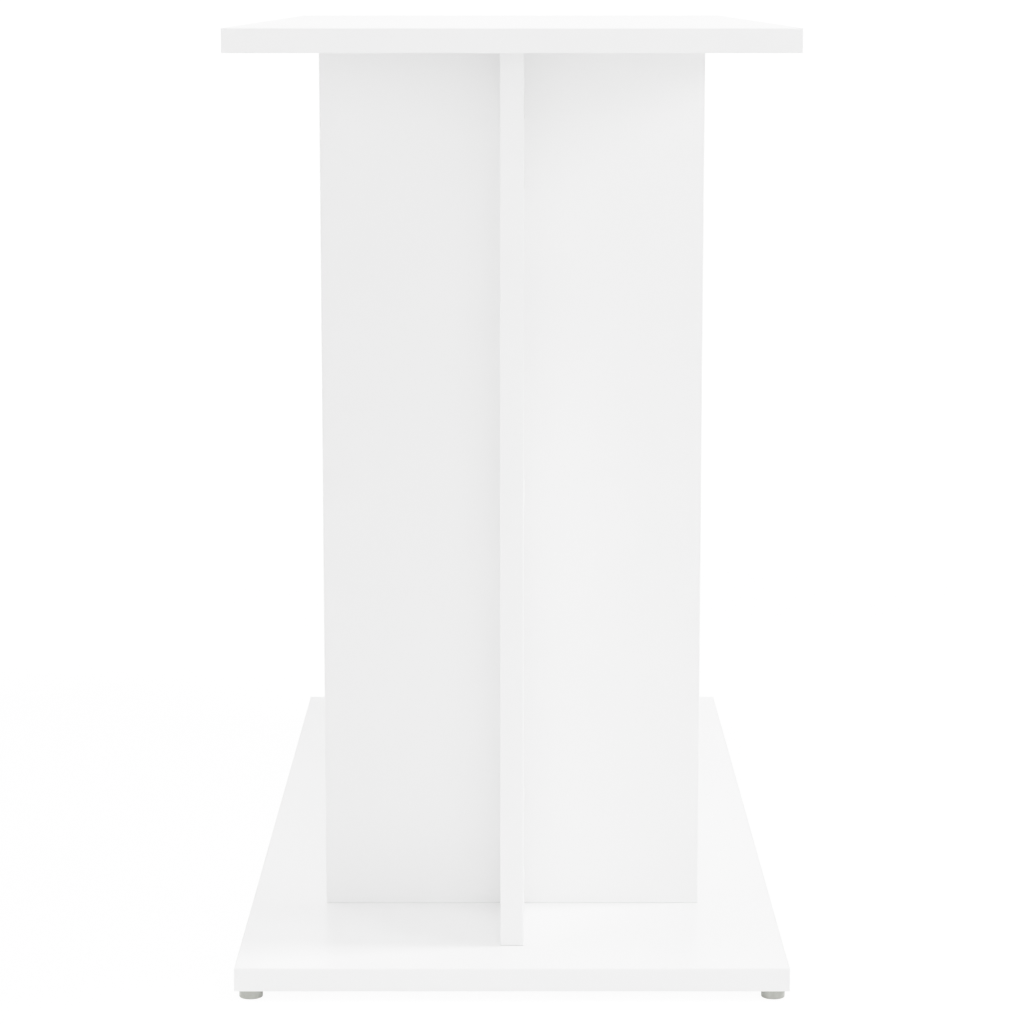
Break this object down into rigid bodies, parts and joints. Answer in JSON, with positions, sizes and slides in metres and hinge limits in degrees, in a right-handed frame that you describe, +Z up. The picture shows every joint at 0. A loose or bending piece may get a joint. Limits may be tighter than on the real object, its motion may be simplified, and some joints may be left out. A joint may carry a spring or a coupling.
{
  "type": "aquarium stand",
  "caption": "Open panel aquarium stand: top and base boards held apart by a long centre upright with a cross panel near each end, on small glides.",
  "frame": {"origin": "on the floor under the middle of the stand, level with the underside of the glides", "axes": "+X along the length, +Y across the width, +Z up"},
  "size_m": [0.8, 0.35, 0.606],
  "materials": {
    "white_melamine": "white melamine face on chipboard, fine pearl texture",
    "white_edge_strip": "smooth satin white edge strip",
    "white_plastic_cap": "satin white moulded plastic",
    "grey_plastic_glide": "grey moulded plastic",
    "zinc_cam": "die-cast zinc",
    "steel_bolt": "zinc-plated steel",
    "steel_nail": "bright steel",
    "beech_dowel": "raw beech"
  },
  "bodies": {
    "root": {"base_board": "white_melamine", "base_cam_bolts": "steel_bolt", "base_dowels": "beech_dowel", "base_edge_back": "white_edge_strip", "base_edge_front": "white_edge_strip", "base_edge_left": "white_edge_strip", "base_edge_right": "white_edge_strip", "centre_cam_caps": "white_plastic_cap", "centre_cams": "zinc_cam", "centre_panel": "white_melamine", "glide_left_back": "grey_plastic_glide", "glide_left_front": "grey_plastic_glide", "glide_nails": "steel_nail", "glide_right_back": "grey_plastic_glide", "glide_right_front": "grey_plastic_glide", "left_cross_cam_caps": "white_plastic_cap", "left_cross_cams": "zinc_cam", "left_cross_edge_back": "white_edge_strip", "left_cross_edge_front": "white_edge_strip", "left_cross_panel": "white_melamine", "left_end_fin": "white_melamine", "left_fin_cam_caps": "white_plastic_cap", "left_fin_cams": "zinc_cam", "left_fin_edge": "white_edge_strip", "left_through_bolts": "steel_bolt", "left_through_dowels": "beech_dowel", "right_cross_cam_caps": "white_plastic_cap", "right_cross_cams": "zinc_cam", "right_cross_edge_back": "white_edge_strip", "right_cross_edge_front": "white_edge_strip", "right_cross_panel": "white_melamine", "right_end_fin": "white_melamine", "right_fin_cam_caps": "white_plastic_cap", "right_fin_cams": "zinc_cam", "right_fin_edge": "white_edge_strip", "right_through_bolts": "steel_bolt", "right_through_dowels": "beech_dowel", "top_board": "white_melamine", "top_cam_bolts": "steel_bolt", "top_dowels": "beech_dowel", "top_edge_back": "white_edge_strip", "top_edge_front": "white_edge_strip", "top_edge_left": "white_edge_strip", "top_edge_right": "white_edge_strip"}
  },
  "joints": []
}
